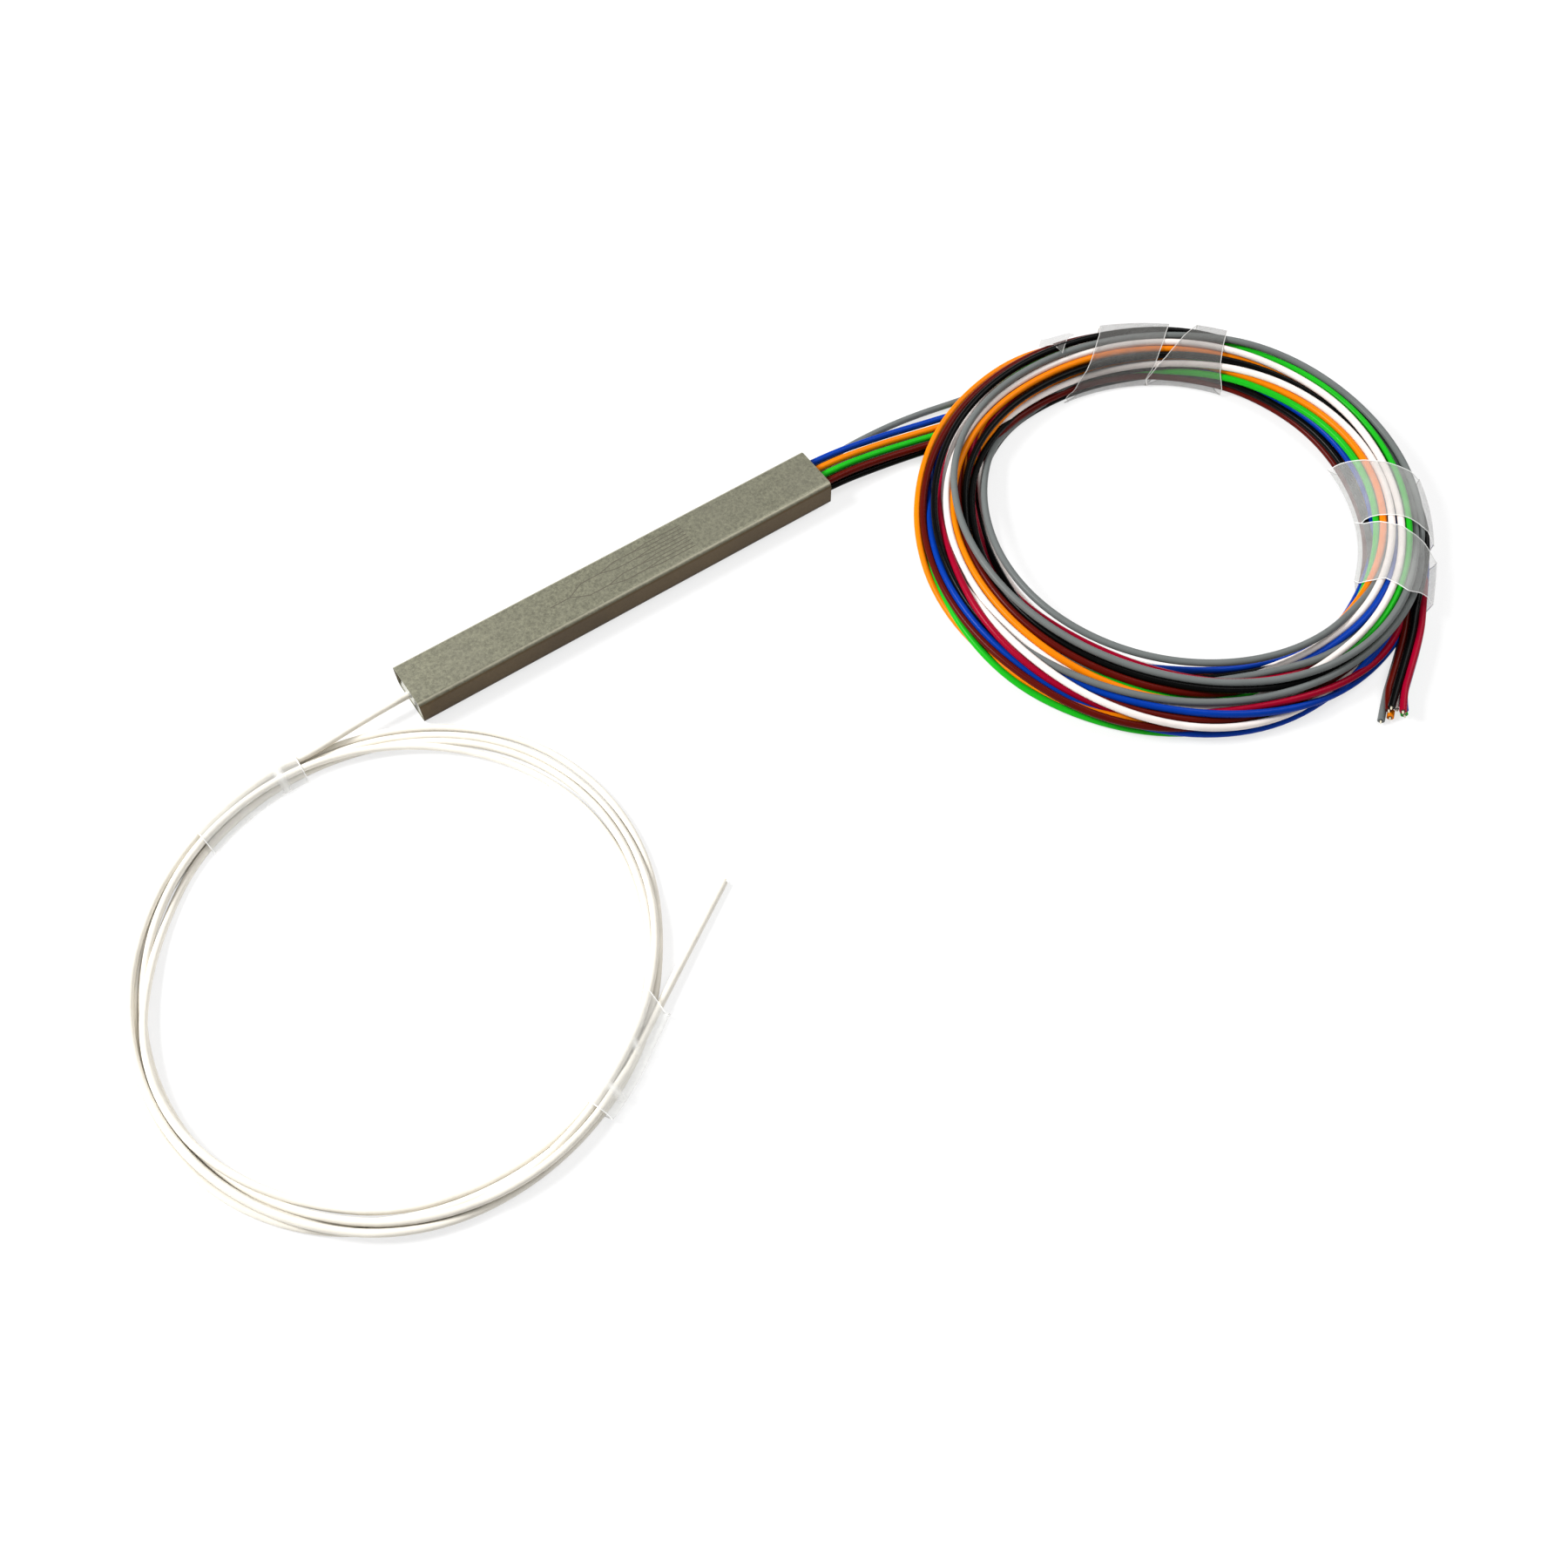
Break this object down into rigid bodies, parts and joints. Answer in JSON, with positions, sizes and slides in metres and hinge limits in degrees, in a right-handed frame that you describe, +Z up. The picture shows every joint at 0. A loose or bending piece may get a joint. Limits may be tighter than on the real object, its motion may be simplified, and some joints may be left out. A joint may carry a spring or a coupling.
{
  "type": "fibre optic planar splitter module",
  "caption": "Small steel-tube fibre splitter with a single white input tube and coloured output tubes, both coiled flat and held by clear film.",
  "frame": {"origin": "bottom centre of the steel housing", "axes": "+X along the housing to the output end, +Y to the back, +Z up off the surface it lies on"},
  "size_m": [0.1756, 0.0739, 0.0051],
  "materials": {
    "housing_steel": "satin stainless with a fine mottled grain",
    "seal_adhesive": "cured grey-white adhesive",
    "bed_adhesive": "soft clear-white silicone",
    "chip_glass": "polished silica on silicon",
    "block_glass": "clear borosilicate glass",
    "fibre_coating": "clear acrylate coating",
    "tube_natural": "translucent white loose tube",
    "coil_bundle": "stands for the eight coloured tubes side by side",
    "tube_grey": "semi-gloss",
    "tube_blue": "semi-gloss",
    "tube_white": "semi-gloss",
    "tube_orange": "semi-gloss",
    "tube_red": "semi-gloss",
    "tube_green": "semi-gloss",
    "tube_black": "semi-gloss",
    "tube_brown": "semi-gloss",
    "clear_film": "milky clear film"
  },
  "bodies": {
    "root": {"steel_housing": "housing_steel", "input_end_seal": "seal_adhesive", "output_end_seal": "seal_adhesive", "support_bed": "bed_adhesive", "waveguide_chip": "chip_glass", "chip_cover_input": "block_glass", "chip_cover_output": "block_glass", "input_fibre_block": "block_glass", "input_block_lid": "block_glass", "output_fibre_block": "block_glass", "output_block_lid": "block_glass", "inner_input_fibre": "fibre_coating", "inner_output_fibres": "fibre_coating", "input_lead": "tube_natural", "input_coil": "tube_natural", "input_tail": "tube_natural", "output_coil": "coil_bundle", "output_lead_grey": "tube_grey", "output_lead_blue": "tube_blue", "output_lead_white": "tube_white", "output_lead_orange": "tube_orange", "output_lead_red": "tube_red", "output_lead_green": "tube_green", "output_lead_black": "tube_black", "output_lead_brown": "tube_brown", "output_tail_grey": "tube_grey", "output_tail_blue": "tube_blue", "output_tail_white": "tube_white", "output_tail_orange": "tube_orange", "output_tail_red": "tube_red", "output_tail_green": "tube_green", "output_tail_black": "tube_black", "output_tail_brown": "tube_brown", "output_wrap_top": "clear_film", "output_wrap_side": "clear_film", "input_wrap_upper": "clear_film", "input_wrap_lower": "clear_film"}
  },
  "joints": []
}
